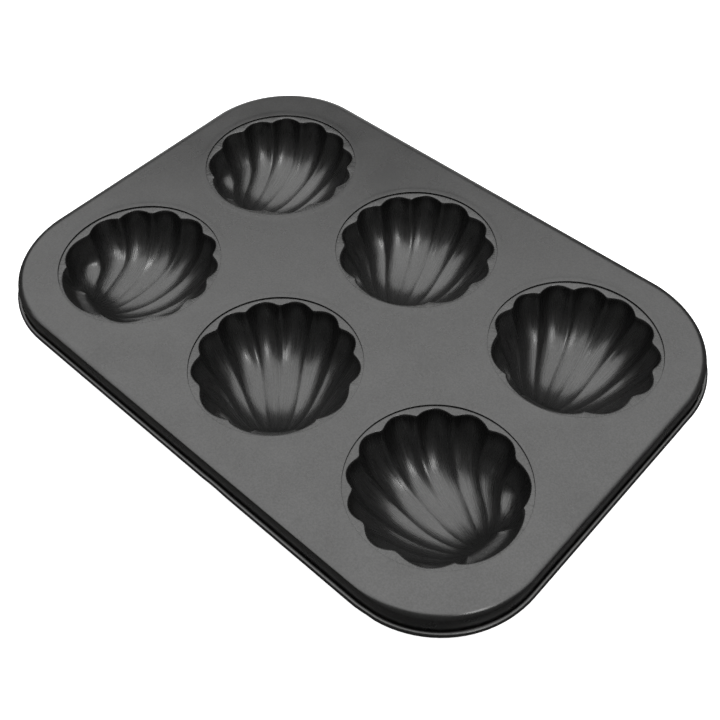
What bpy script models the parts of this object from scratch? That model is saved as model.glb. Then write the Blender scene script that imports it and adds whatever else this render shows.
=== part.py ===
"""Six-cup shell cake mould, in metres, standing on its cups with +Z up.

A pressed tray frame with a bead rolled round a wire carries six fluted shell cups.
The origin is under the middle of the tray, at the level the cups stand on.
"""

import math

import bmesh
import bpy

MM = 0.001

# Sheet metal and fits
FRAME_SHEET = 0.4 * MM
CUP_SHEET = 0.4 * MM
JOINT_GAP = 0.3 * MM

# Places of the cups
COLUMN_PITCH = 82.0 * MM
ROW_PITCH = 84.2 * MM
COLUMNS = 3
ROWS = 2
SEAM_RADIUS = 34.4 * MM
FLANGE_LAP = 2.4 * MM
HINGE_ANGLES = (270.0, 288.0, 279.5, 257.5, 312.5, 352.0)

# Tray frame, its flat set out from the outer cups' centres
END_MARGIN = 45.8 * MM
SIDE_MARGIN = 47.3 * MM
FLAT_LENGTH = (COLUMNS - 1) * COLUMN_PITCH + 2 * END_MARGIN
FLAT_WIDTH = (ROWS - 1) * ROW_PITCH + 2 * SIDE_MARGIN
FLAT_CORNER_RADIUS = 39.5 * MM
BEND_RADIUS = 2.0 * MM
SKIRT_HEIGHT = 7.9 * MM
WIRE_RADIUS = 0.5 * MM
WIRE_CLEARANCE = 0.3 * MM
WIRE_END_GAP = 0.6 * MM
CURL_SWEEP = math.radians(280)

# Shape of one cup, whose hinge lies towards its own +X
NOTCH_ANGLES = (31.5, 70.5, 99.5, 126.5, 153.0, 180.0)
HINGE_NOTCH_RADIUS = 30.8 * MM
NOTCH_RADIUS = 30.0 * MM
LOBE_TIP_RADIUS = 32.9 * MM
PLAIN_ARC_RADIUS = 33.2 * MM
PLAIN_ARC_FULLNESS = 0.5
MOUTH_ROUNDING = 0.8 * MM
BOWL_DEPTH = 25.5 * MM
BOWL_ROUNDNESS = 2.0
BOWL_FALL = 0.52

# Ridges and flutes of one cup, from the mouth to their end near the hinge
FLUTE_END_RADIUS = 23.3 * MM
FLUTE_END_ANGLE = math.radians(23.8)
FLUTE_END_SPREAD = 1.3
END_LIFT = 2.5 * MM
END_LIFT_REACH = 9.0 * MM
RIDGE_BOWS = (1.8 * MM, 2.2 * MM, 1.0 * MM, 1.4 * MM, 0.0)
BOW_LEAN = 1.8
FLUTE_ARCH = math.radians(20)
FLUTE_FULLNESS = (1.7, 0.72, 0.78, 1.0, 1.0)
FULLNESS_SHARE = 0.15
FLUTE_REST = 0.3
FLUTE_DECAY = 0.21
LEVEL_SHARE = 0.12

# Ledge of one cup, between the plain wall at the hinge and the flutes' end
LEDGE_RADIUS = 30.0 * MM
LEDGE_HALF_ANGLE = math.radians(25.0)
LEDGE_EDGE_RADIUS = 24.6 * MM
LEDGE_EDGE_HALF_ANGLE = math.radians(17.0)
LEDGE_DEPTH = 9.4 * MM
LEDGE_FALL = 0.16

# Facets
CORNER_STEPS = 10
BEND_STEPS = 3
CURL_STEPS = 8
WIRE_SIDES = 6
HOLE_SIDES = 48
FLUTE_STEPS = 4
BOWL_STEPS = 9
LEDGE_ROW = 5
PLAIN_ARC_STEPS = 10
LEDGE_ARC_STEPS = 6
ROUNDING_STEPS = 1
SLOPE_STEP = 0.02
SMOOTH_BELOW = math.radians(40)


def clear_scene():
    for item in list(bpy.data.objects):
        bpy.data.objects.remove(item, do_unlink=True)


def coated_steel(name, grey, roughness, metallic):
    material = bpy.data.materials.new(name)
    material.use_nodes = True
    shader = material.node_tree.nodes["Principled BSDF"]
    shader.inputs["Base Color"].default_value = (grey, grey, grey, 1.0)
    shader.inputs["Roughness"].default_value = roughness
    shader.inputs["Metallic"].default_value = metallic
    return material


def finish_mesh(mesh, material):
    mesh.materials.append(material)
    mesh.shade_smooth()
    mesh.set_sharp_from_angle(angle=SMOOTH_BELOW)


def add_object(name, mesh, parent):
    item = bpy.data.objects.new(name, mesh)
    bpy.context.scene.collection.objects.link(item)
    item.parent = parent
    return item


def mesh_from(name, points, faces):
    mesh = bpy.data.meshes.new(name)
    mesh.from_pydata(points, [], faces)
    mesh.update()
    return mesh


def rim_outline(offset):
    """Plan points of the flat's rounded rectangle, moved outwards by offset, anticlockwise."""
    points = []
    corner_x = FLAT_LENGTH / 2 - FLAT_CORNER_RADIUS
    corner_y = FLAT_WIDTH / 2 - FLAT_CORNER_RADIUS
    radius = FLAT_CORNER_RADIUS + offset
    for quarter, (side_x, side_y) in enumerate(((1, 1), (-1, 1), (-1, -1), (1, -1))):
        for step in range(CORNER_STEPS + 1):
            angle = (quarter + step / CORNER_STEPS) * math.pi / 2
            x = side_x * corner_x + radius * math.cos(angle)
            y = side_y * corner_y + radius * math.sin(angle)
            points.append((x, y))
    return points


def curl_radius():
    """Radius of the middle of the sheet where it is rolled round the wire."""
    return WIRE_RADIUS + WIRE_CLEARANCE + FRAME_SHEET / 2


def bend_middle_radius():
    return BEND_RADIUS - FRAME_SHEET / 2


def wire_place():
    """Offset from the flat's edge and height, from the plate's top, of the wire's centre."""
    return bend_middle_radius() + curl_radius(), -BEND_RADIUS - SKIRT_HEIGHT


def rim_section():
    """Middle of the sheet from the flat's edge to the end of the curl, as offset and height."""
    section = []
    for step in range(BEND_STEPS + 1):
        angle = step / BEND_STEPS * math.pi / 2
        offset = bend_middle_radius() * math.sin(angle)
        section.append((offset, -BEND_RADIUS + bend_middle_radius() * math.cos(angle)))
    centre, height = wire_place()
    for step in range(CURL_STEPS + 1):
        angle = math.pi + step / CURL_STEPS * CURL_SWEEP
        offset = centre + curl_radius() * math.cos(angle)
        section.append((offset, height + curl_radius() * math.sin(angle)))
    return section


def tray_frame_mesh():
    points = []
    faces = []
    around = 4 * (CORNER_STEPS + 1)
    section = rim_section()
    for offset, height in section:
        points += [(x, y, height) for x, y in rim_outline(offset)]
    faces.append(tuple(range(around)))
    for ring in range(len(section) - 1):
        for i in range(around):
            j = (i + 1) % around
            inner, outer = ring * around, (ring + 1) * around
            faces.append((inner + i, outer + i, outer + j, inner + j))
    return mesh_from("tray_frame", points, faces)


def hole_cutter(name, x, y, top, parent):
    """Upright cylinder that cuts one cup's hole through the flat."""
    reach = 2 * BEND_RADIUS
    mesh = bpy.data.meshes.new(name)
    shape = bmesh.new()
    bmesh.ops.create_cone(
        shape,
        cap_ends=True,
        segments=HOLE_SIDES,
        radius1=SEAM_RADIUS,
        radius2=SEAM_RADIUS,
        depth=2 * reach,
    )
    shape.to_mesh(mesh)
    shape.free()
    cutter = add_object(name, mesh, parent)
    cutter.location = (x, y, top)
    cutter.hide_render = True
    cutter.display_type = "WIRE"
    return cutter


def make_tray_frame(top, places, material, parent):
    mesh = tray_frame_mesh()
    finish_mesh(mesh, material)
    frame = add_object("tray_frame", mesh, parent)
    frame.location.z = top
    wall = frame.modifiers.new("sheet", "SOLIDIFY")
    wall.thickness = FRAME_SHEET
    wall.offset = 0
    wall.use_even_offset = True
    for number, (x, y) in enumerate(places, 1):
        cut = frame.modifiers.new(f"hole_{number}", "BOOLEAN")
        cut.operation = "DIFFERENCE"
        cut.solver = "EXACT"
        cut.object = hole_cutter(f"hole_cutter_{number}", x, y, top, parent)


def wire_route(offset):
    """Plan points of the wire's centre with the normal at each, from one butted end to the other."""
    outline = rim_outline(offset)
    flat = rim_outline(0)
    normals = [((a - c) / offset, (b - d) / offset) for (a, b), (c, d) in zip(outline, flat)]
    last_corner = CORNER_STEPS
    far_side = outline[last_corner][1]
    start = ((-WIRE_END_GAP / 2, far_side), (0.0, 1.0))
    finish = ((WIRE_END_GAP / 2, far_side), (0.0, 1.0))
    stops = list(zip(outline, normals))
    return [start] + stops[last_corner + 1:] + stops[: last_corner + 1] + [finish]


def make_rim_wire(top, material, parent):
    """Open ring of round wire inside the bead, its ends butted at the middle of the far side."""
    offset, height = wire_place()
    points = []
    faces = []
    route = wire_route(offset)
    for (x, y), (normal_x, normal_y) in route:
        for side in range(WIRE_SIDES):
            angle = 2 * math.pi * side / WIRE_SIDES
            out = WIRE_RADIUS * math.cos(angle)
            points.append((x + out * normal_x, y + out * normal_y, WIRE_RADIUS * math.sin(angle)))
    for stop in range(len(route) - 1):
        for side in range(WIRE_SIDES):
            following = (side + 1) % WIRE_SIDES
            here, ahead = stop * WIRE_SIDES, (stop + 1) * WIRE_SIDES
            faces.append((here + side, ahead + side, ahead + following, here + following))
    faces.append(tuple(range(WIRE_SIDES)))
    faces.append(tuple(reversed(range((len(route) - 1) * WIRE_SIDES, len(route) * WIRE_SIDES))))
    mesh = mesh_from("rim_wire", points, faces)
    finish_mesh(mesh, material)
    wire = add_object("rim_wire", mesh, parent)
    wire.location.z = top + height
    return wire


def cup_top():
    """Height of the cup's flange, under the frame's sheet, from the plate's top."""
    return -FRAME_SHEET - JOINT_GAP


def notch_list():
    """Angle and radius of each notch, round from one side of the hinge to the other."""
    one_side = list(NOTCH_ANGLES)
    other_side = [360.0 - angle for angle in reversed(NOTCH_ANGLES[:-1])]
    angles = [math.radians(angle) for angle in one_side + other_side]
    last = len(angles) - 1
    radii = [HINGE_NOTCH_RADIUS if i in (0, last) else NOTCH_RADIUS for i in range(last + 1)]
    return list(zip(angles, radii))


def polar(radius, angle):
    return radius * math.cos(angle), radius * math.sin(angle)


def mix(a, b, share):
    return a + (b - a) * share


def ridge_bow(notch):
    """Sideways bend of one ridge, mirrored on the other side of the cup."""
    last = len(notch_list()) - 1
    if notch <= last / 2:
        return RIDGE_BOWS[notch - 1]
    return -RIDGE_BOWS[last - notch - 1]


def row_place(step):
    """Place along a flute, closer together near the mouth, where the wall is steep."""
    return 1 - math.cos(math.pi / 2 * step / BOWL_STEPS)


def ledge_height(x, y):
    """Height of the ledge, which falls gently towards the middle of the cup."""
    return -LEDGE_DEPTH - LEDGE_FALL * (LEDGE_RADIUS - math.hypot(x, y))


def outer_crest_point(side, along):
    """Point of the ridge beside the hinge: down the wall to the ledge, then along its side."""
    ledge_start = row_place(LEDGE_ROW)
    down = min(1.0, along / ledge_start)
    over = max(0.0, along - ledge_start) / (1 - ledge_start)
    mouth = polar(HINGE_NOTCH_RADIUS, math.radians(NOTCH_ANGLES[0]))
    corner = polar(LEDGE_RADIUS, LEDGE_HALF_ANGLE)
    tip = polar(LEDGE_EDGE_RADIUS, LEDGE_EDGE_HALF_ANGLE)
    x, y = (mix(mix(mouth[i], corner[i], down), tip[i], over) for i in (0, 1))
    top = cup_top() - MOUTH_ROUNDING
    return x, side * y, mix(top, ledge_height(x, y), math.sin(math.pi / 2 * down))


def crest_point(notch, along):
    """Point of the ridge that runs from one notch, at the mouth, to the flutes' end."""
    notches = notch_list()
    if notch in (0, len(notches) - 1):
        return outer_crest_point(1 if notch == 0 else -1, along)
    angle, radius = notches[notch]
    mouth = polar(radius, angle)
    share = (math.pi - angle) / (math.pi - notches[0][0])
    end_angle = math.copysign(FLUTE_END_ANGLE * abs(share) ** FLUTE_END_SPREAD, share)
    end = polar(FLUTE_END_RADIUS, end_angle)
    run = [end[i] - mouth[i] for i in (0, 1)]
    bend = math.sin(math.pi * (along + BOW_LEAN * along * (1 - along)))
    bow = ridge_bow(notch) * bend / math.hypot(*run)
    x = mouth[0] + along * run[0] + bow * run[1]
    y = mouth[1] + along * run[1] - bow * run[0]
    reach = min(1.0, math.hypot(x, y) / radius)
    depth = BOWL_DEPTH * (1 - reach**BOWL_ROUNDNESS) ** BOWL_FALL
    nearness = max(0.0, 1 - math.hypot(x - end[0], y - end[1]) / END_LIFT_REACH)
    lift = END_LIFT * (along * nearness) ** 2
    return x, y, cup_top() - MOUTH_ROUNDING - depth + lift


def base_point(flute, across, along):
    """Point on the straight lines between two neighbouring ridges."""
    first = crest_point(flute, along)
    second = crest_point(flute + 1, along)
    return tuple(mix(a, b, across) for a, b in zip(first, second))


def minus(a, b):
    return [p - q for p, q in zip(a, b)]


def cross(a, b):
    return [a[1] * b[2] - a[2] * b[1], a[2] * b[0] - a[0] * b[2], a[0] * b[1] - a[1] * b[0]]


def unit(a):
    length = math.sqrt(sum(p * p for p in a))
    return [p / length for p in a]


def outward(flute, across, along):
    """Unit vector out of the cavity, level at the mouth and square to the bowl below it."""
    ahead = base_point(flute, across, min(1.0, along + SLOPE_STEP))
    behind = base_point(flute, across, max(0.0, along - SLOPE_STEP))
    right = base_point(flute, min(1.0, across + SLOPE_STEP), along)
    left = base_point(flute, max(0.0, across - SLOPE_STEP), along)
    square = unit(cross(minus(ahead, behind), minus(right, left)))
    here = base_point(flute, across, along)
    if sum(p * q for p, q in zip(square, here)) < 0:
        square = [-p for p in square]
    chord_a = base_point(flute, 0.0, 0.0)
    chord_b = base_point(flute, 1.0, 0.0)
    level = unit([chord_b[1] - chord_a[1], chord_a[0] - chord_b[0], 0.0])
    share = min(1.0, along / LEVEL_SHARE)
    return unit([mix(p, q, share) for p, q in zip(level, square)])


def arch(across):
    """Height of a flute's round section above its chord, as a share of its height at the middle."""
    reach = (2 * across - 1) * math.sin(FLUTE_ARCH)
    rise = math.sqrt(1 - reach * reach) - math.cos(FLUTE_ARCH)
    return rise / (1 - math.cos(FLUTE_ARCH))


def flute_width(flute, along):
    a = base_point(flute, 0.0, along)
    b = base_point(flute, 1.0, along)
    return math.dist(a, b)


def flute_height(flute, along):
    """Height of a flute at its middle, which shrinks with its width and sinks below the mouth."""
    middle = base_point(flute, 0.5, 0.0)
    at_mouth = LOBE_TIP_RADIUS - math.hypot(middle[0], middle[1])
    fade = mix(math.exp(-along / FLUTE_DECAY), 1.0, FLUTE_REST)
    last = 2 * len(FLUTE_FULLNESS) - 1
    full = FLUTE_FULLNESS[min(flute, last - flute)]
    settled = mix(1.0, full, min(1.0, along / FULLNESS_SHARE))
    return at_mouth * flute_width(flute, along) / flute_width(flute, 0.0) * fade * settled


def flute_point(flute, across, along):
    base = base_point(flute, across, along)
    height = flute_height(flute, along) * arch(across)
    direction = outward(flute, across, along)
    return tuple(p + height * q for p, q in zip(base, direction))


def flute_columns():
    """Flute number and place across it of each column, evenly spaced round the flute's arch."""
    columns = []
    flutes = len(notch_list()) - 1
    for flute in range(flutes):
        for step in range(FLUTE_STEPS):
            turn = (2 * step / FLUTE_STEPS - 1) * FLUTE_ARCH
            columns.append((flute, (1 + math.sin(turn) / math.sin(FLUTE_ARCH)) / 2))
    columns.append((flutes - 1, 1.0))
    return columns


def plain_arc():
    """Wall's top along the hinge, from the last notch round to the first, without the notches."""
    half = math.radians(NOTCH_ANGLES[0])
    points = []
    for step in range(1, PLAIN_ARC_STEPS):
        angle = -half + 2 * half * step / PLAIN_ARC_STEPS
        share = math.cos(math.pi * (step / PLAIN_ARC_STEPS - 0.5)) ** PLAIN_ARC_FULLNESS
        radius = mix(HINGE_NOTCH_RADIUS, PLAIN_ARC_RADIUS, share)
        points.append((*polar(radius, angle), cup_top() - MOUTH_ROUNDING))
    return points


def plan_normals(ring):
    """Outward unit vectors, in plan, of a closed anticlockwise ring of points."""
    normals = []
    for i, _ in enumerate(ring):
        before, after = ring[i - 1], ring[(i + 1) % len(ring)]
        run_x, run_y = after[0] - before[0], after[1] - before[1]
        length = math.hypot(run_x, run_y)
        normals.append((run_y / length, -run_x / length))
    return normals


def mouth_rings(mouth):
    """Rings from the flange's outer edge over the rounding down to the mouth's ring."""
    normals = plan_normals(mouth)
    rings = []
    flange = []
    for x, y, _ in mouth:
        flange.append((*polar(SEAM_RADIUS + FLANGE_LAP, math.atan2(y, x)), cup_top()))
    rings.append(flange)
    for step in range(ROUNDING_STEPS):
        angle = step / ROUNDING_STEPS * math.pi / 2
        out = MOUTH_ROUNDING * (1 - math.sin(angle))
        height = cup_top() - MOUTH_ROUNDING * (1 - math.cos(angle))
        rings.append([(x + out * a, y + out * b, height) for (x, y, _), (a, b) in zip(mouth, normals)])
    return rings


def joined_strip(first, second, share_first, share_second):
    """Triangles between two lines of point numbers that share their ends, matched by share."""
    faces = []
    i = j = 0
    while i < len(first) - 1 or j < len(second) - 1:
        next_i = share_first[i + 1] if i < len(first) - 1 else 2.0
        next_j = share_second[j + 1] if j < len(second) - 1 else 2.0
        if next_i < next_j:
            face = (first[i], first[i + 1], second[j])
            i += 1
        else:
            face = (first[i], second[j + 1], second[j])
            j += 1
        if len(set(face)) == 3:
            faces.append(face)
    return faces


def ledge_arc(radius, half_angle):
    """Points of the ledge on an arc about the cup's axis, without the arc's ends."""
    points = []
    for step in range(1, LEDGE_ARC_STEPS):
        x, y = polar(radius, mix(-half_angle, half_angle, step / LEDGE_ARC_STEPS))
        points.append((x, y, ledge_height(x, y)))
    return points


def length_shares(points, line):
    """How far along a line of point numbers each point lies, as a share of its length."""
    lengths = [0.0]
    for a, b in zip(line, line[1:]):
        lengths.append(lengths[-1] + math.dist(points[a], points[b]))
    return [length / lengths[-1] for length in lengths]


def hinge_wall_faces(points, arc, first_side, end_arc, last_side):
    """Plain wall under the plain arc, the ledge below it, and its riser down to the flutes."""
    inner_foot = list(range(len(points), len(points) + LEDGE_ARC_STEPS - 1))
    points += ledge_arc(LEDGE_RADIUS, LEDGE_HALF_ANGLE)
    inner_edge = list(range(len(points), len(points) + LEDGE_ARC_STEPS - 1))
    points += ledge_arc(LEDGE_EDGE_RADIUS, LEDGE_EDGE_HALF_ANGLE)
    back = list(reversed(first_side))
    foot = [last_side[LEDGE_ROW]] + inner_foot + [first_side[LEDGE_ROW]]
    strips = (
        (arc, last_side[:LEDGE_ROW] + foot + back[-LEDGE_ROW:]),
        (foot, last_side[LEDGE_ROW:] + inner_edge + back[:-LEDGE_ROW]),
        ([last_side[-1]] + inner_edge + [first_side[-1]], list(reversed(end_arc))),
    )
    faces = []
    for upper, lower in strips:
        faces += joined_strip(upper, lower, length_shares(points, upper), length_shares(points, lower))
    return faces


def shell_cup_mesh():
    """Inner face of the cup with its flange, as one open surface facing the cavity."""
    columns = flute_columns()
    rows = [row_place(step) for step in range(BOWL_STEPS + 1)]
    points = []
    faces = []
    numbers = []
    for along in rows:
        numbers.append(list(range(len(points), len(points) + len(columns))))
        points += [flute_point(flute, across, along) for flute, across in columns]
    for upper, lower in zip(numbers, numbers[1:]):
        for i in range(len(columns) - 1):
            faces.append((upper[i], upper[i + 1], lower[i + 1], lower[i]))
    arc_numbers = list(range(len(points), len(points) + PLAIN_ARC_STEPS - 1))
    points += plain_arc()
    arc = [numbers[0][-1]] + arc_numbers + [numbers[0][0]]
    first_side = [row[0] for row in numbers]
    last_side = [row[-1] for row in numbers]
    faces += hinge_wall_faces(points, arc, first_side, numbers[-1], last_side)
    mouth = numbers[0] + arc_numbers
    ring_numbers = []
    for ring in mouth_rings([points[i] for i in mouth]):
        ring_numbers.append(list(range(len(points), len(points) + len(ring))))
        points += ring
    ring_numbers.append(mouth)
    for outer, inner in zip(ring_numbers, ring_numbers[1:]):
        for i in range(len(mouth)):
            j = (i + 1) % len(mouth)
            faces.append((outer[i], outer[j], inner[j], inner[i]))
    return mesh_from("shell_cup", points, faces)


def make_shell_cups(top, places, mesh, material, parent):
    finish_mesh(mesh, material)
    for number, ((x, y), hinge) in enumerate(zip(places, HINGE_ANGLES), 1):
        cup = add_object(f"shell_cup_{number}", mesh, parent)
        cup.location = (x, y, top)
        cup.rotation_euler.z = math.radians(hinge)
        wall = cup.modifiers.new("sheet", "SOLIDIFY")
        wall.thickness = CUP_SHEET
        wall.offset = -1


def cup_places():
    """Centres of the cups in plan, the far row first, each row along +X."""
    places = []
    for row in reversed(range(ROWS)):
        for column in range(COLUMNS):
            x = (column - (COLUMNS - 1) / 2) * COLUMN_PITCH
            y = (row - (ROWS - 1) / 2) * ROW_PITCH
            places.append((x, y))
    return places


def main():
    clear_scene()
    mould = bpy.data.objects.new("mould", None)
    bpy.context.scene.collection.objects.link(mould)
    coating = coated_steel("nonstick_coating", 0.16, 0.42, 0.35)
    wire_steel = coated_steel("rim_wire_steel", 0.5, 0.35, 1.0)
    cup_mesh = shell_cup_mesh()
    top = CUP_SHEET - min(vertex.co.z for vertex in cup_mesh.vertices)
    places = cup_places()
    make_tray_frame(top, places, coating, mould)
    make_rim_wire(top, wire_steel, mould)
    make_shell_cups(top, places, cup_mesh, coating, mould)


main()
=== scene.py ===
"""Looks of the six-cup shell cake mould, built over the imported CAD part."""

import math

import bmesh
import bpy
import numpy as np
from mathutils import Matrix, Vector
from mathutils.geometry import delaunay_2d_cdt

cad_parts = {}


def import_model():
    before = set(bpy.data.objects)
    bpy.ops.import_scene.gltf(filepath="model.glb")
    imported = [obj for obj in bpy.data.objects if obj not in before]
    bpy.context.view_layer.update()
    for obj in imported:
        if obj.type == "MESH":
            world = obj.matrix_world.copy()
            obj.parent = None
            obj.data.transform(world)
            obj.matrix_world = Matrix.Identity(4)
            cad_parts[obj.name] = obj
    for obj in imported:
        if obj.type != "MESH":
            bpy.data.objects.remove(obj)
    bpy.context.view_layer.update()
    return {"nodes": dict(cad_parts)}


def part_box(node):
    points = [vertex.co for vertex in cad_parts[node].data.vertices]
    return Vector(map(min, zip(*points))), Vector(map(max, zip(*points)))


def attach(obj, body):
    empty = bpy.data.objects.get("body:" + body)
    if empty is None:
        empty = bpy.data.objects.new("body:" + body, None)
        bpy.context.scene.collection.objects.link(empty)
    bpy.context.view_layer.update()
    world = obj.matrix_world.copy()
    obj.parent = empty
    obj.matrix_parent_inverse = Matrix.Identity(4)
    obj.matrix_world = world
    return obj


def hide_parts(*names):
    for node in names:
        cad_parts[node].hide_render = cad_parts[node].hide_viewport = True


MM = 0.001

# Sheets, and the gap between two pieces that touch on the real object
SHEET = 0.4 * MM
JOINT_GAP = 0.3 * MM

# Tray: its bend turns gently up to an angle and then tightly, and differs at sides and corners
FLAT_LENGTH = 255.6 * MM
FLAT_WIDTH = 178.8 * MM
FLAT_CORNER_RADIUS = 39.5 * MM
BEND_RADIUS = 2.0 * MM
SIDE_BEND = (6.0 * MM, math.radians(26), 0.4 * MM)
CORNER_BEND = (3.0 * MM, math.radians(45), 2.6 * MM)
BEND_MARGINS = (0.8 * MM, 0.3 * MM)
SKIRT_HEIGHT = 7.9 * MM
CURL_RADIUS = 1.0 * MM
CURL_SWEEP = math.radians(280)
CURL_SQUARENESS = 3.0
EDGE_BEVEL = 0.1 * MM
EDGE_BEVEL_ANGLE = math.radians(50)
SEAM_RADIUS = 34.4 * MM
FLANGE_RADIUS = 36.8 * MM

# Swells of the flat, which fade out at its edge, and the low step over each flange
SWELL_HEIGHT = 0.03 * MM
SWELL_LENGTHS = (23.0 * MM, 19.0 * MM)
SWELL_SHIFTS = (0.7, 1.9)
SWELL_EDGE = 8.0 * MM
STEP_HEIGHT = 0.025 * MM
STEP_WIDTH = 0.8 * MM
FLAT_DROP = 0.08 * MM

# Small dents of the bead: plan place, reach and depth
RIM_DENTS = (
    ((-129.5 * MM, -42.0 * MM), 3.0 * MM, 0.35 * MM),
    ((18.0 * MM, -92.5 * MM), 2.5 * MM, 0.3 * MM),
    ((93.0 * MM, -92.5 * MM), 3.0 * MM, 0.4 * MM),
    ((131.0 * MM, 45.0 * MM), 2.0 * MM, 0.12 * MM),
)

# Cups: the turn of each, and the mouth's notches from the hinge side to the far side
HINGE_ANGLES = (270.0, 288.0, 279.5, 257.5, 312.5, 352.0)
NOTCH_ANGLES = (31.5, 70.5, 99.5, 126.5, 153.0, 180.0)
HINGE_NOTCH_RADIUS = 30.8 * MM
NOTCH_RADIUS = 30.0 * MM
LOBE_TIP_RADIUS = 32.9 * MM
PLAIN_ARC_RADIUS = 33.2 * MM
PLAIN_ARC_FULLNESS = 0.5
MOUTH_ROUNDING = 0.8 * MM
FLANGE_LEVEL = -SHEET - JOINT_GAP
MOUTH_LEVEL = FLANGE_LEVEL - MOUTH_ROUNDING
BOWL_DEPTH = 25.38 * MM
BOWL_ROUNDNESS = 2.0
BOWL_FALL = 0.52

# Flutes: where they end, how their ridges bow, and how far they arch between two ridges
FLUTE_END_RADIUS = 23.3 * MM
FLUTE_END_ANGLE = math.radians(23.8)
FLUTE_END_SPREAD = 1.3
END_LIFT = 1.8 * MM
END_LIFT_REACH = 9.0 * MM
RIDGE_BOWS = (1.8 * MM, 2.2 * MM, 1.0 * MM, 1.4 * MM, 0.0)
BOW_LEAN = 1.8
FLUTE_ARCH = math.radians(20)
FLUTE_FULLNESS = (2.1, 0.72, 0.78, 1.0, 1.0)
FULLNESS_SHARE = 0.15
FLUTE_REST = 0.3
FLUTE_DECAY = 0.21
LEVEL_SHARE = 0.12

# Ledge under the plain arc: its two angles are those of its outer and its inner corners
LEDGE_RADIUS = 30.0 * MM
LEDGE_DEPTH = 9.4 * MM
LEDGE_FALL = 0.2
LEDGE_EDGE_RADIUS = 24.6 * MM
LEDGE_HALF_ANGLES = (25.0, 17.0)
LEDGE_SCALLOP = 0.5
LEDGE_ROW_SHARE = 5 / 9
HINGE_SIDE_SHARE = 0.2

# Fineness of the meshes
FLUTE_COLUMNS = 16
BOWL_ROWS = 45
HINGE_WALL_ROWS = (12, 10, 10)
MOUTH_ROWS = 4
CORNER_STEPS = 24
SIDE_STEP = 4.0 * MM
BEND_STEPS = 8
SKIRT_STEPS = 4
CURL_STEPS = 20
EDGE_BEVEL_STEPS = 2
HOLE_SIDES = 128
HOLE_RINGS = (0.0, 0.25 * MM, 1.2 * MM, 1.9 * MM, 2.2 * MM, 2.5 * MM, 2.9 * MM, 4.5 * MM)
PLATE_STEP = 7.0 * MM
PLATE_INSET = 0.985
PLATE_CLEARANCE = PLATE_STEP / 3
SAME_PLACE = 0.002 * MM
CDT_INSIDE = 1
CDT_TOLERANCE = 1e-7

# Softening: passes for each part, and where and how close the ledge's creases are softened
SOFTENING_STEP = 0.5
FLUTE_SOFTENING = 1
OUTER_RIDGE_SOFTENING = 6
LEDGE_CORNER_SOFTENING = 6
HINGE_WALL_SOFTENING = 8
CREASE_SOFTENING = 44
CREASE_REACH = (16.0 * MM, 20.0 * MM)
CREASE_LEVEL = (-3.0 * MM, -8.0 * MM)
CREASE_SPACING = 0.12 * MM

# Coating
NOISE_RANGE = (0.3, 0.7)
COATING_DARK = (0.056, 0.056, 0.0555, 1.0)
COATING_LIGHT = (0.080, 0.080, 0.0795, 1.0)
COATING_METALLIC = 0.92
COATING_ROUGHNESS = (0.26, 0.31)
MOTTLE_SCALE = 55.0
MOTTLE_DETAIL = 4.0
MOTTLE_SHARE = 0.4
GRAIN_SCALE = 1500.0
GRAIN_DETAIL = 2.0
GRAIN_SHARE = 0.6
GRAIN_STRENGTH = 0.35
GRAIN_DEPTH = 0.02 * MM
STREAK_STRETCH = (220.0, 5.0, 1.0)
STREAK_DETAIL = 3.0
STREAK_ROUGHNESS = (0.2, 0.38)
STREAK_STRENGTH = 1.0
STREAK_DEPTH = 0.07 * MM

# Wire
WIRE_DARK = (0.42, 0.41, 0.39, 1.0)
WIRE_LIGHT = (0.58, 0.57, 0.56, 1.0)
WIRE_LINE_SCALE = 900.0
WIRE_LINE_DETAIL = 3.0
WIRE_ROUGHNESS = (0.28, 0.42)

# Floor
FLOOR_HALF = 4.0
FLOOR_DARK = (0.84, 0.84, 0.84, 1.0)
FLOOR_LIGHT = (0.87, 0.87, 0.87, 1.0)
FLOOR_CLOUD_SCALE = 3.0
FLOOR_CLOUD_DETAIL = 2.0
FLOOR_ROUGHNESS = 0.9
FLOOR_GLOW = 0.85
FLOOR_GLOW_COLOR = (1.0, 1.0, 1.0, 1.0)

# World: the fill, the pale wall on the far side, and less light from below the horizon
FILL_COLOR = (0.14, 0.138, 0.136, 1.0)
FAR_GLOW = (1.4, 1.4, 1.4, 1.0)
FAR_SIDE = (-0.7, 0.71, 0.0)
FAR_GLOW_RANGE = (0.86, 0.97)
BELOW_FILL = 0.3
BELOW_RANGE = (-0.4, 0.0)

# Lights
SOFTBOX_HEIGHT = 1.0
SOFTBOX_PLACE = (-0.275, 0.19)
SOFTBOX_SIZE = (2.15, 1.78)
SOFTBOX_TURN = math.radians(33.7)
SOFTBOX_RADIANCE = 2.22
LAMP_PLACE = (1.87, -0.5, 2.25)
LAMP_SIZE = 0.54
LAMP_RADIANCE = 14.0

# Camera, from the middle of the flat's top
CAMERA_OFFSET = (195.562 * MM, -198.955 * MM, 313.723 * MM)
CAMERA_ANGLES = (38.3822, 1.0492, 42.4172)
CAMERA_LENS = 51.35
SENSOR_WIDTH = 36.0


def mix(a, b, share):
    return a + (b - a) * share


def unit(vectors):
    return vectors / np.linalg.norm(vectors, axis=-1, keepdims=True)


def polar(radius, angle):
    return np.array([radius * np.cos(angle), radius * np.sin(angle)])


def soften(points, passes):
    """Moves each inner point half the way to the middle of its two neighbours, a few times."""
    points = points.copy()
    for _ in range(passes):
        middle = (points[:-2] + points[2:]) / 2
        points[1:-1] = mix(points[1:-1], middle, SOFTENING_STEP)
    return points


def link(item):
    bpy.context.scene.collection.objects.link(item)
    return item


def mesh_from(name, points, faces):
    mesh = bpy.data.meshes.new(name)
    mesh.from_pydata([tuple(p) for p in points], [], faces)
    mesh.update()
    return mesh


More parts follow.
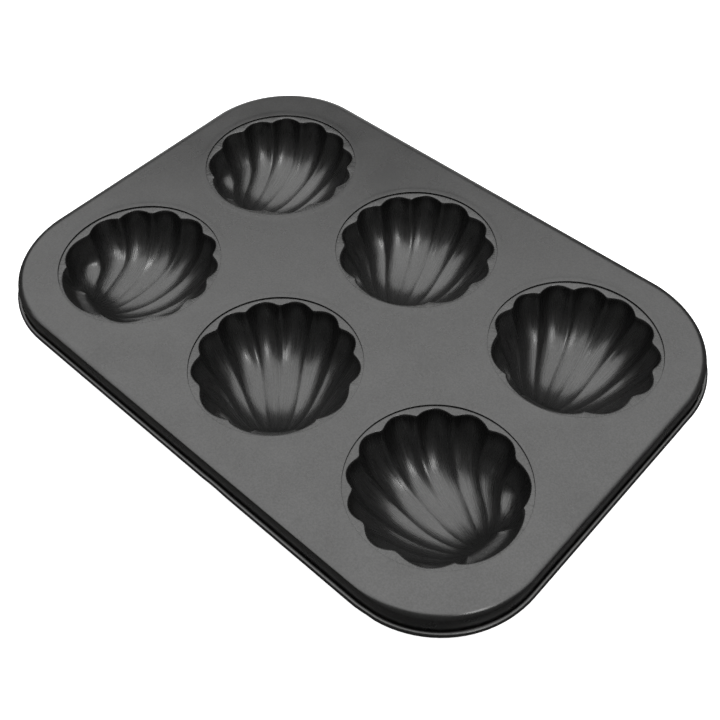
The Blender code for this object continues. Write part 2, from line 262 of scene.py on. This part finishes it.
def write_facing_up(shape, mesh, pick):
    """Turns all faces so that the lowest or the highest one looks up, and writes the mesh."""
    bmesh.ops.recalc_face_normals(shape, faces=shape.faces)
    picked = pick(shape.faces, key=lambda face: face.calc_center_median().z)
    if picked.normal.z < 0:
        bmesh.ops.reverse_faces(shape, faces=shape.faces)
    shape.to_mesh(mesh)
    shape.free()


def baked(item):
    """Replaces an object's mesh by what its modifiers make of it."""
    graph = bpy.context.evaluated_depsgraph_get()
    mesh = bpy.data.meshes.new_from_object(item.evaluated_get(graph))
    item.modifiers.clear()
    item.data = mesh
    return mesh


# Cup


def inner_ridges(along):
    """Ridges between the flutes, apart from the two beside the hinge."""
    one_side = list(zip(NOTCH_ANGLES[1:], RIDGE_BOWS))
    other_side = [(360.0 - angle, -bow) for angle, bow in reversed(one_side[:-1])]
    return [ridge(math.radians(angle), bow, along) for angle, bow in one_side + other_side]


def ridge(angle, bow, along):
    """Points of one ridge between two flutes, from its notch to the flutes' end."""
    mouth = polar(NOTCH_RADIUS, angle)
    share = (math.pi - angle) / (math.pi - math.radians(NOTCH_ANGLES[0]))
    end = polar(FLUTE_END_RADIUS, FLUTE_END_ANGLE * np.sign(share) * abs(share) ** FLUTE_END_SPREAD)
    run = end - mouth
    side = np.array([run[1], -run[0]]) / np.linalg.norm(run)
    bend = np.sin(math.pi * (along + BOW_LEAN * along * (1 - along)))
    plan = mouth + along[:, None] * run + (bow * bend)[:, None] * side
    reach = np.minimum(1.0, np.hypot(plan[:, 0], plan[:, 1]) / NOTCH_RADIUS)
    depth = BOWL_DEPTH * (1 - reach**BOWL_ROUNDNESS) ** BOWL_FALL
    near_end = np.clip(1 - np.hypot(*(plan - end).T) / END_LIFT_REACH, 0, 1)
    height = MOUTH_LEVEL - depth + END_LIFT * (along * near_end) ** 2
    return np.column_stack([plan, height])


def along_at(row_share):
    """How far along a ridge a row lies: the rows are closest together at the mouth."""
    return 1 - np.cos(math.pi / 2 * row_share)


def ledge_level(reach):
    """Height of the ledge at the hinge side, which falls gently towards the bowl."""
    return -LEDGE_DEPTH - LEDGE_FALL * (LEDGE_RADIUS - reach)


def outer_ridge(side, along):
    """Ridge beside the hinge: down the wall to the ledge's corner, then along the ledge's side."""
    outer_angle, inner_angle = np.radians(LEDGE_HALF_ANGLES)
    mouth = polar(HINGE_NOTCH_RADIUS, math.radians(NOTCH_ANGLES[0]))
    corner = polar(LEDGE_RADIUS, outer_angle)
    tip = polar(LEDGE_EDGE_RADIUS, inner_angle)
    start = along_at(LEDGE_ROW_SHARE)
    down = np.clip(along / start, 0, 1)
    across = np.clip((along - start) / (1 - start), 0, 1)
    plan = mix(mix(mouth, corner, down[:, None]), tip, across[:, None])
    level = ledge_level(np.hypot(plan[:, 0], plan[:, 1]))
    height = mix(MOUTH_LEVEL, level, np.sin(math.pi / 2 * down))
    points = np.column_stack([plan[:, 0], side * plan[:, 1], height])
    return soften(points, OUTER_RIDGE_SOFTENING)


def flute_section():
    """Places across one flute, from 0 to 1, and how far it arches at each."""
    turn = np.linspace(-FLUTE_ARCH, FLUTE_ARCH, FLUTE_COLUMNS + 1)
    across = (1 + np.sin(turn) / math.sin(FLUTE_ARCH)) / 2
    rise = (np.cos(turn) - math.cos(FLUTE_ARCH)) / (1 - math.cos(FLUTE_ARCH))
    return across, rise


def flute_points(first, second, full, along):
    """Rows by columns of points over one flute, arched outwards between its two ridges."""
    across, rise = flute_section()
    base = mix(first[:, None], second[:, None], across[None, :, None])
    width = np.linalg.norm(second - first, axis=1)
    chord = (first[0] + second[0]) / 2
    fade = mix(np.exp(-along / FLUTE_DECAY), 1.0, FLUTE_REST)
    settled = np.minimum(1.0, along / FULLNESS_SHARE)
    height = (LOBE_TIP_RADIUS - np.hypot(chord[0], chord[1])) * width / width[0]
    height *= fade * mix(1.0, full, settled)
    square = unit(np.cross(np.gradient(base, axis=0), np.gradient(base, axis=1)))
    square[(square * base).sum(axis=-1) < 0] *= -1
    chord_run = second[0] - first[0]
    level = unit(np.array([chord_run[1], -chord_run[0], 0.0]))
    share = np.minimum(1.0, along / LEVEL_SHARE)[:, None, None]
    direction = unit(mix(level, square, share))
    return base + height[:, None, None] * rise[None, :, None] * direction


def flute_grid():
    """Rows by columns of points over all the flutes, from the mouth down to their end."""
    along = along_at(np.arange(BOWL_ROWS + 1) / BOWL_ROWS)
    ridges = [outer_ridge(1, along), *inner_ridges(along), outer_ridge(-1, along)]
    fullness = list(FLUTE_FULLNESS) + list(reversed(FLUTE_FULLNESS))
    flutes = [flute_points(first, second, full, along)
              for first, second, full in zip(ridges, ridges[1:], fullness)]
    grid = np.concatenate([flute[:, :-1] for flute in flutes[:-1]] + flutes[-1:], axis=1)
    return soften(grid.swapaxes(0, 1), FLUTE_SOFTENING).swapaxes(0, 1)


def lower_border(grid):
    """Border below the mouth: down the last column, back along the last row, up the first column."""
    return np.concatenate([grid[:, -1], grid[-1, ::-1][1:-1], grid[::-1, 0]])


def plain_arc(shares):
    """Plain arc of the mouth at the hinge side, from one outer notch to the other."""
    half = math.radians(NOTCH_ANGLES[0])
    swell = np.cos(math.pi * (shares - 0.5)) ** PLAIN_ARC_FULLNESS
    radius = mix(HINGE_NOTCH_RADIUS, PLAIN_ARC_RADIUS, swell)
    level = np.full(len(shares), MOUTH_LEVEL)
    return np.column_stack([*polar(radius, mix(-half, half, shares)), level])


def ledge_points(radii, angles):
    return np.column_stack([*polar(radii, angles), ledge_level(radii)])


def ledge_lines(above, below, shares):
    """Foot of the plain wall, and the ledge's inner edge, one point for each column."""
    outer_angle, inner_angle = np.radians(LEDGE_HALF_ANGLES)
    first = round(BOWL_ROWS * LEDGE_ROW_SHARE)
    foot = below.copy()
    edge = below.copy()
    # The ledge's own stretch of each line
    arc = slice(first + 1, len(below) - first - 1)
    angles = outer_angle * (shares[arc] - 0.5) / (0.5 - shares[first])
    foot[arc] = ledge_points(np.full(len(angles), LEDGE_RADIUS), angles)
    tips = slice(BOWL_ROWS + 1, len(below) - BOWL_ROWS - 1)
    angles = np.linspace(-inner_angle, inner_angle, tips.stop - tips.start + 2)[1:-1]
    scallop = LEDGE_SCALLOP * (np.hypot(below[tips, 0], below[tips, 1]) - FLUTE_END_RADIUS)
    edge[tips] = ledge_points(LEDGE_EDGE_RADIUS + scallop, angles)
    # Beside the ledge, both lines run in between the arc and the outer ridges
    down = np.linspace(0, 1, first + 1)[:, None]
    for line, rows in ((foot, HINGE_WALL_ROWS[0]), (edge, sum(HINGE_WALL_ROWS[:2]))):
        share = mix(rows / sum(HINGE_WALL_ROWS), 1.0, down)
        for backwards in (1, -1):
            side, wall_top, flute_side = (points[::backwards] for points in (line, above, below))
            side[:first + 1] = mix(wall_top[:first + 1], flute_side[:first + 1], share)
    for line, still in ((foot, first), (edge, BOWL_ROWS)):
        line[still:-still] = soften(line[still:-still], LEDGE_CORNER_SOFTENING)
    return foot, edge


def hinge_wall_grid(flutes):
    """Rows by columns of points from the plain arc down its wall, over the ledge, to the flutes."""
    below = lower_border(flutes)
    side = HINGE_SIDE_SHARE * np.arange(BOWL_ROWS + 1) / BOWL_ROWS
    inner = flutes.shape[1] - 1
    middle = mix(HINGE_SIDE_SHARE, 1 - HINGE_SIDE_SHARE, np.arange(1, inner) / inner)
    shares = np.concatenate([side, middle, 1 - side[::-1]])
    above = plain_arc(shares)
    above[0], above[-1] = below[0], below[-1]
    foot, edge = ledge_lines(above, below, shares)
    stations = (above, foot, edge, below)
    rows = [above]
    for first, second, count in zip(stations, stations[1:], HINGE_WALL_ROWS):
        rows += [mix(first, second, step / count) for step in range(1, count + 1)]
    return soften(np.array(rows), HINGE_WALL_SOFTENING)


def mouth_grid(mouth):
    """Rings from the flange's outer edge over the rounding down to the closed mouth ring."""
    out = unit(np.column_stack([mouth[:, :2], np.zeros(len(mouth))]))
    rings = [out * radius + [0, 0, FLANGE_LEVEL] for radius in (FLANGE_RADIUS, SEAM_RADIUS)]
    for step in range(MOUTH_ROWS + 1):
        angle = step / MOUTH_ROWS * math.pi / 2
        ring = mouth + out * MOUTH_ROUNDING * (1 - math.sin(angle))
        ring[:, 2] = FLANGE_LEVEL - MOUTH_ROUNDING * (1 - math.cos(angle))
        rings.append(ring)
    return np.array(rings)


def cup_grids():
    """The cup's grids of points, each with its places across and along the flutes."""
    flutes = flute_grid()
    wall = hinge_wall_grid(flutes)
    mouth = np.concatenate([flutes[0], wall[0, 1:]])
    rows, columns = flutes.shape[:2]
    across, along = np.meshgrid(np.linspace(0, 1, columns), np.linspace(0, 1, rows))
    flow = np.stack([across, along, np.zeros_like(across)], axis=-1)
    wall_flow = lower_border(flow)
    mouth_flow = np.concatenate([flow[0], wall_flow[1:]])
    return (flutes, flow), (wall, wall_flow), (mouth_grid(mouth), mouth_flow)


def grid_faces(start, rows, columns):
    faces = []
    for r in range(rows - 1):
        for c in range(columns - 1):
            a = start + r * columns + c
            faces.append((a, a + 1, a + columns + 1, a + columns))
    return faces


def soften_creases(shape):
    """Rounds the ledge's edges, more and more towards the ledge's middle."""
    def near_hinge(share):
        reach, level = mix(*CREASE_REACH, share), mix(*CREASE_LEVEL, share)
        return [v for v in shape.verts if v.co.x > reach and v.co.z < level]

    bmesh.ops.remove_doubles(shape, verts=near_hinge(0.0), dist=CREASE_SPACING)
    for step in range(CREASE_SOFTENING):
        bmesh.ops.smooth_vert(shape, verts=near_hinge(step / CREASE_SOFTENING), factor=SOFTENING_STEP,
                              use_axis_x=True, use_axis_y=True, use_axis_z=True)


def shell_cup_mesh():
    """Inner face of one cup with its flange, the hinge towards +X and the flat's top at zero."""
    points = []
    faces = []
    flow = []
    for grid, lines in cup_grids():
        faces += grid_faces(len(points), grid.shape[0], grid.shape[1])
        points += list(grid.reshape(-1, 3))
        flow.append(np.broadcast_to(lines, grid.shape).reshape(-1, 3))
    mesh = mesh_from("shell_cup", points, faces)
    places = mesh.attributes.new("flow", "FLOAT_VECTOR", "POINT")
    places.data.foreach_set("vector", np.concatenate(flow).ravel())
    shape = bmesh.new()
    shape.from_mesh(mesh)
    bmesh.ops.remove_doubles(shape, verts=shape.verts, dist=SAME_PLACE)
    soften_creases(shape)
    write_facing_up(shape, mesh, min)
    return mesh


def make_cups(top, material):
    source = shell_cup_mesh()
    for number, hinge in enumerate(HINGE_ANGLES, 1):
        node = f"shell_cup_{number}"
        low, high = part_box(node)
        centre = Vector(((low.x + high.x) / 2, (low.y + high.y) / 2, top))
        cup = link(bpy.data.objects.new(f"fluted_cup_{number}", source.copy()))
        cup.data.transform(Matrix.Translation(centre) @ Matrix.Rotation(math.radians(hinge), 4, "Z"))
        wall = cup.modifiers.new("sheet", "SOLIDIFY")
        wall.thickness = SHEET
        wall.offset = -1
        mesh = baked(cup)
        mesh.shade_smooth()
        mesh.materials.append(material)
        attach(cup, "root")
        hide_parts(node)


# Tray


def rim_outline():
    """Plan points of the flat's rounded rectangle, anticlockwise, the way out at each,
    and how much each belongs to a straight side."""
    points = []
    outward = []
    straight = []
    corner_x = FLAT_LENGTH / 2 - FLAT_CORNER_RADIUS
    corner_y = FLAT_WIDTH / 2 - FLAT_CORNER_RADIUS
    centres = [np.array(c) for c in ((corner_x, corner_y), (-corner_x, corner_y),
                                     (-corner_x, -corner_y), (corner_x, -corner_y))]
    for quarter, centre in enumerate(centres):
        for step in range(CORNER_STEPS + 1):
            outward.append(polar(1.0, (quarter + step / CORNER_STEPS) * math.pi / 2))
            points.append(centre + FLAT_CORNER_RADIUS * outward[-1])
            straight.append((2 * step / CORNER_STEPS - 1) ** 2)
        run = centres[(quarter + 1) % 4] - centre
        count = round(np.linalg.norm(run) / SIDE_STEP)
        start = points[-1]
        points += [start + run * step / count for step in range(1, count)]
        outward += [outward[-1]] * (count - 1)
        straight += [1.0] * (count - 1)
    return np.array(points), np.array(outward), np.array(straight)


def squarish(value):
    return math.copysign(abs(value) ** (2 / CURL_SQUARENESS), value)


def rim_section(gentle_radius, turn_angle, tight_radius):
    """Middle of the sheet from inside the flat's edge to the end of the curl."""
    bend = BEND_RADIUS - SHEET / 2
    curve = [(0.0, 0.0)]
    for radius, first, last in ((gentle_radius, 0.0, turn_angle),
                                (tight_radius, turn_angle, math.pi / 2)):
        x, z = curve[-1]
        for step in range(1, BEND_STEPS + 1):
            angle = mix(first, last, step / BEND_STEPS)
            curve.append((x + radius * (math.sin(angle) - math.sin(first)),
                          z + radius * (math.cos(angle) - math.cos(first))))
    start = bend - curve[-1][0]
    section = [(start - margin, 0.0) for margin in BEND_MARGINS]
    section += [(start + x, z) for x, z in curve]
    for step in range(1, SKIRT_STEPS):
        section.append((bend, mix(curve[-1][1], -bend - SKIRT_HEIGHT, step / SKIRT_STEPS)))
    centre = bend + CURL_RADIUS
    for step in range(CURL_STEPS + 1):
        angle = math.pi + step / CURL_STEPS * CURL_SWEEP
        section.append((centre + CURL_RADIUS * squarish(math.cos(angle)),
                        -bend - SKIRT_HEIGHT + CURL_RADIUS * squarish(math.sin(angle))))
    return np.array(section)


def rim_rings():
    """Closed rings of points over the bend, the skirt and the curl."""
    points, outward, straight = rim_outline()
    rings = []
    for corner, side in zip(rim_section(*CORNER_BEND), rim_section(*SIDE_BEND)):
        offset, height = mix(corner[:, None], side[:, None], straight)
        rings.append(np.column_stack([points + offset[:, None] * outward, height]))
    return rings


def inside_outline(points, outline):
    """Which plan points lie inside a closed outline."""
    x, y = points[:, 0], points[:, 1]
    found = np.zeros(len(points), bool)
    for a, b in zip(outline, np.roll(outline, -1, axis=0)):
        crosses = (a[1] > y) != (b[1] > y)
        height = b[1] - a[1] if b[1] != a[1] else 1.0
        found ^= crosses & (x < (b[0] - a[0]) * (y - a[1]) / height + a[0])
    return found


def circle(centre, radius, sides):
    return np.array(centre) + polar(radius, np.arange(sides) * 2 * math.pi / sides).T


def plate_grid(outline, centres):
    """Evenly spaced plan points inside the outline and clear of the holes' rings."""
    xs, ys = (np.arange(-size / 2, size / 2, PLATE_STEP) + PLATE_STEP / 2
              for size in (FLAT_LENGTH, FLAT_WIDTH))
    grid = np.array([(x, y) for x in xs for y in ys])
    keep = inside_outline(grid, outline * PLATE_INSET)
    for centre in centres:
        keep &= np.hypot(*(grid - centre).T) > SEAM_RADIUS + HOLE_RINGS[-1] + PLATE_CLEARANCE
    return grid[keep]


def flat_points_and_faces(outline, centres):
    """Triangulated flat of the tray with its round holes."""
    loops = [outline]
    loops += [circle(centre, SEAM_RADIUS + reach, HOLE_SIDES) for centre in centres for reach in HOLE_RINGS]
    plan = []
    edges = []
    for loop in loops:
        first = len(plan)
        plan.extend(loop)
        edges.extend((first + i, first + (i + 1) % len(loop)) for i in range(len(loop)))
    plan.extend(plate_grid(outline, centres))
    triangulated = delaunay_2d_cdt([Vector(p) for p in plan], edges, [], CDT_INSIDE, CDT_TOLERANCE)
    corners = np.array([tuple(v) for v in triangulated[0]])
    faces = []
    for face in triangulated[2]:
        middle = corners[list(face)].mean(axis=0)
        if all(np.hypot(*(middle - centre)) > SEAM_RADIUS for centre in centres):
            faces.append(tuple(face))
    return corners, faces


def plate_height(plan, centres):
    """Small swells of the sheet, and the low step over each cup's flange."""
    height = np.full(len(plan), SWELL_HEIGHT)
    for place, length, shift in zip(plan.T, SWELL_LENGTHS, SWELL_SHIFTS):
        height *= np.sin(place / length + shift)
    for centre in centres:
        distance = np.hypot(*(plan - centre).T)
        share = np.clip((FLANGE_RADIUS + STEP_WIDTH / 2 - distance) / STEP_WIDTH, 0, 1)
        height += STEP_HEIGHT * share * share * (3 - 2 * share)
    return height - FLAT_DROP


def dent(points, place, reach, depth):
    """Pushes the bead inwards near one place of its plan."""
    distance = np.hypot(points[:, 0] - place[0], points[:, 1] - place[1])
    low = np.clip((-BEND_RADIUS - points[:, 2]) / SKIRT_HEIGHT, 0, 1)
    share = np.exp(-((distance / reach) ** 2)) * low**2
    inward = -unit(np.column_stack([points[:, 0], points[:, 1], np.zeros(len(points))]))
    return points + inward * (depth * share)[:, None]


def tray_mesh(centres):
    """Middle of the tray's sheet: the flat, then rings over the bend, the skirt and the curl."""
    rings = rim_rings()
    around = len(rings[0])
    plan, faces = flat_points_and_faces(rings[0][:, :2], centres)
    edge_distance = np.abs(plan[:, None] - rings[0][None, :, :2]).sum(axis=2).min(axis=1)
    height = plate_height(plan, centres) * np.clip(edge_distance / SWELL_EDGE, 0, 1)
    points = [(x, y, z) for (x, y), z in zip(plan, height)]
    start = len(points)
    rim = np.concatenate(rings[1:])
    for place, reach, depth in RIM_DENTS:
        rim = dent(rim, place, reach, depth)
    points += [tuple(p) for p in rim]
    inner = [int(np.argmin(np.hypot(*(plan - ring_point[:2]).T))) for ring_point in rings[0]]
    for ring in range(len(rings) - 1):
        outer = [start + ring * around + i for i in range(around)]
        for i in range(around):
            j = (i + 1) % around
            faces.append((inner[i], outer[i], outer[j], inner[j]))
        inner = outer
    mesh = mesh_from("tray", points, faces)
    shape = bmesh.new()
    shape.from_mesh(mesh)
    write_facing_up(shape, mesh, max)
    return mesh


def make_tray(top, material):
    centres = []
    for number in range(1, len(HINGE_ANGLES) + 1):
        low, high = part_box(f"shell_cup_{number}")
        centres.append(np.array([(low.x + high.x) / 2, (low.y + high.y) / 2]))
    tray = link(bpy.data.objects.new("pressed_tray", tray_mesh(centres)))
    tray.data.transform(Matrix.Translation((0, 0, top - SHEET / 2)))
    wall = tray.modifiers.new("sheet", "SOLIDIFY")
    wall.thickness = SHEET
    wall.offset = 0
    wall.use_even_offset = True
    edge = tray.modifiers.new("edge", "BEVEL")
    edge.width = EDGE_BEVEL
    edge.segments = EDGE_BEVEL_STEPS
    edge.limit_method = "ANGLE"
    edge.angle_limit = EDGE_BEVEL_ANGLE
    mesh = baked(tray)
    mesh.shade_smooth()
    mesh.materials.append(material)
    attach(tray, "root")
    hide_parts("tray_frame")


# Materials


def new_material(name):
    material = bpy.data.materials.new(name)
    material.use_nodes = True
    nodes = material.node_tree.nodes
    place = nodes.new("ShaderNodeTexCoord").outputs["Object"]
    return material, nodes, material.node_tree.links, nodes["Principled BSDF"], place


def noise(nodes, links, place, scale, detail):
    node = nodes.new("ShaderNodeTexNoise")
    node.inputs["Scale"].default_value = scale
    node.inputs["Detail"].default_value = detail
    links.new(place, node.inputs["Vector"])
    return node.outputs["Fac"]


def ranged(nodes, links, source, low, high, span=NOISE_RANGE, steps="LINEAR"):
    """Carries a span of the source's values over to the values from low to high."""
    node = nodes.new("ShaderNodeMapRange")
    node.interpolation_type = steps
    node.inputs["From Min"].default_value = span[0]
    node.inputs["From Max"].default_value = span[1]
    node.inputs["To Min"].default_value = low
    node.inputs["To Max"].default_value = high
    links.new(source, node.inputs["Value"])
    return node.outputs["Result"]


def tinted(nodes, links, factor, dark, light):
    tint = nodes.new("ShaderNodeMix")
    tint.data_type = "RGBA"
    tint.inputs["A"].default_value = dark
    tint.inputs["B"].default_value = light
    links.new(factor, tint.inputs["Factor"])
    return tint.outputs["Result"]


def bumped(nodes, links, height, strength, depth):
    node = nodes.new("ShaderNodeBump")
    node.inputs["Strength"].default_value = strength
    node.inputs["Distance"].default_value = depth
    links.new(height, node.inputs["Height"])
    return node


def streaks(nodes, links):
    """Fine lines drawn along the flutes, from each cup's own flow attribute."""
    flow = nodes.new("ShaderNodeAttribute")
    flow.attribute_name = "flow"
    stretch = nodes.new("ShaderNodeVectorMath")
    stretch.operation = "MULTIPLY"
    stretch.inputs[1].default_value = STREAK_STRETCH
    links.new(flow.outputs["Vector"], stretch.inputs[0])
    return noise(nodes, links, stretch.outputs["Vector"], 1.0, STREAK_DETAIL)


def coating_material(name, streaked):
    """Satin non-stick coating: dark, with fine grain and faint mottling."""
    material, nodes, links, shader, place = new_material(name)
    shader.inputs["Metallic"].default_value = COATING_METALLIC
    mottle = noise(nodes, links, place, MOTTLE_SCALE, MOTTLE_DETAIL)
    grain = noise(nodes, links, place, GRAIN_SCALE, GRAIN_DETAIL)
    blend = nodes.new("ShaderNodeMath")
    blend.operation = "MULTIPLY_ADD"
    blend.inputs[1].default_value = GRAIN_SHARE
    links.new(ranged(nodes, links, grain, 0.0, 1.0), blend.inputs[0])
    links.new(ranged(nodes, links, mottle, 0.0, MOTTLE_SHARE), blend.inputs[2])
    color = tinted(nodes, links, blend.outputs["Value"], COATING_DARK, COATING_LIGHT)
    links.new(color, shader.inputs["Base Color"])
    bump = bumped(nodes, links, grain, GRAIN_STRENGTH, GRAIN_DEPTH)
    links.new(bump.outputs["Normal"], shader.inputs["Normal"])
    rough, rough_range = mottle, COATING_ROUGHNESS
    if streaked:
        rough, rough_range = streaks(nodes, links), STREAK_ROUGHNESS
        groove = bumped(nodes, links, rough, STREAK_STRENGTH, STREAK_DEPTH)
        links.new(groove.outputs["Normal"], bump.inputs["Normal"])
    links.new(ranged(nodes, links, rough, *rough_range), shader.inputs["Roughness"])
    return material


def wire_material():
    """Drawn steel wire, with fine lines and a little tarnish."""
    material, nodes, links, shader, place = new_material("drawn_steel")
    shader.inputs["Metallic"].default_value = 1.0
    lines = noise(nodes, links, place, WIRE_LINE_SCALE, WIRE_LINE_DETAIL)
    links.new(tinted(nodes, links, lines, WIRE_DARK, WIRE_LIGHT), shader.inputs["Base Color"])
    links.new(ranged(nodes, links, lines, *WIRE_ROUGHNESS), shader.inputs["Roughness"])
    return material


def floor_material():
    """Pale table with a light of its own, so that the tray's shadow on it stays faint."""
    material, nodes, links, shader, place = new_material("pale_floor")
    cloud = noise(nodes, links, place, FLOOR_CLOUD_SCALE, FLOOR_CLOUD_DETAIL)
    links.new(tinted(nodes, links, cloud, FLOOR_DARK, FLOOR_LIGHT), shader.inputs["Base Color"])
    shader.inputs["Roughness"].default_value = FLOOR_ROUGHNESS
    shader.inputs["Specular IOR Level"].default_value = 0.0
    shader.inputs["Emission Color"].default_value = FLOOR_GLOW_COLOR
    shader.inputs["Emission Strength"].default_value = FLOOR_GLOW
    return material


# Stage


def make_floor():
    corners = [(x * FLOOR_HALF, y * FLOOR_HALF, 0) for x, y in ((-1, -1), (1, -1), (1, 1), (-1, 1))]
    floor = link(bpy.data.objects.new("floor", mesh_from("floor", corners, [(0, 1, 2, 3)])))
    floor.data.materials.append(floor_material())
    floor.visible_glossy = False


def make_world():
    """Dim even fill from the room, a pale wall beyond the table, and less light from below."""
    world = bpy.data.worlds.new("studio")
    bpy.context.scene.world = world
    world.use_nodes = True
    nodes = world.node_tree.nodes
    links = world.node_tree.links
    background = nodes["Background"]
    way = nodes.new("ShaderNodeTexCoord").outputs["Generated"]
    towards = nodes.new("ShaderNodeVectorMath")
    towards.operation = "DOT_PRODUCT"
    towards.inputs[1].default_value = FAR_SIDE
    links.new(way, towards.inputs[0])
    wall = ranged(nodes, links, towards.outputs["Value"], 0.0, 1.0, FAR_GLOW_RANGE, "SMOOTHSTEP")
    links.new(tinted(nodes, links, wall, FILL_COLOR, FAR_GLOW), background.inputs["Color"])
    parts = nodes.new("ShaderNodeSeparateXYZ")
    links.new(way, parts.inputs["Vector"])
    below = ranged(nodes, links, parts.outputs["Z"], BELOW_FILL, 1.0, BELOW_RANGE)
    links.new(below, background.inputs["Strength"])


def area_light(name, place, angles, size, radiance):
    light = bpy.data.lights.new(name, "AREA")
    light.shape = "RECTANGLE"
    light.size, light.size_y = size
    light.energy = radiance * math.pi * size[0] * size[1]
    item = link(bpy.data.objects.new(name, light))
    item.location = place
    item.rotation_euler = angles


def make_lights(top):
    """Wide softbox overhead and a small lamp over the photographer's right shoulder."""
    turn = (0.0, 0.0, SOFTBOX_TURN)
    area_light("softbox", (*SOFTBOX_PLACE, top + SOFTBOX_HEIGHT), turn, SOFTBOX_SIZE, SOFTBOX_RADIANCE)
    angles = Vector(LAMP_PLACE).to_track_quat("Z", "Y").to_euler()
    area_light("lamp", LAMP_PLACE, angles, (LAMP_SIZE, LAMP_SIZE), LAMP_RADIANCE)


def make_camera(top):
    lens = bpy.data.cameras.new("camera")
    lens.lens = CAMERA_LENS
    lens.sensor_width = SENSOR_WIDTH
    camera = link(bpy.data.objects.new("camera", lens))
    camera.location = Vector(CAMERA_OFFSET) + Vector((0, 0, top))
    camera.rotation_euler = [math.radians(angle) for angle in CAMERA_ANGLES]
    bpy.context.scene.camera = camera


def main():
    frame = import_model()
    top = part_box("tray_frame")[1].z
    make_tray(top, coating_material("satin_nonstick", streaked=False))
    make_cups(top, coating_material("satin_nonstick_drawn", streaked=True))
    wire = frame["nodes"]["rim_wire"]
    wire.data.materials.clear()
    wire.data.materials.append(wire_material())
    make_floor()
    make_world()
    make_lights(top)
    make_camera(top)
    bpy.context.scene.view_settings.view_transform = "Standard"


main()
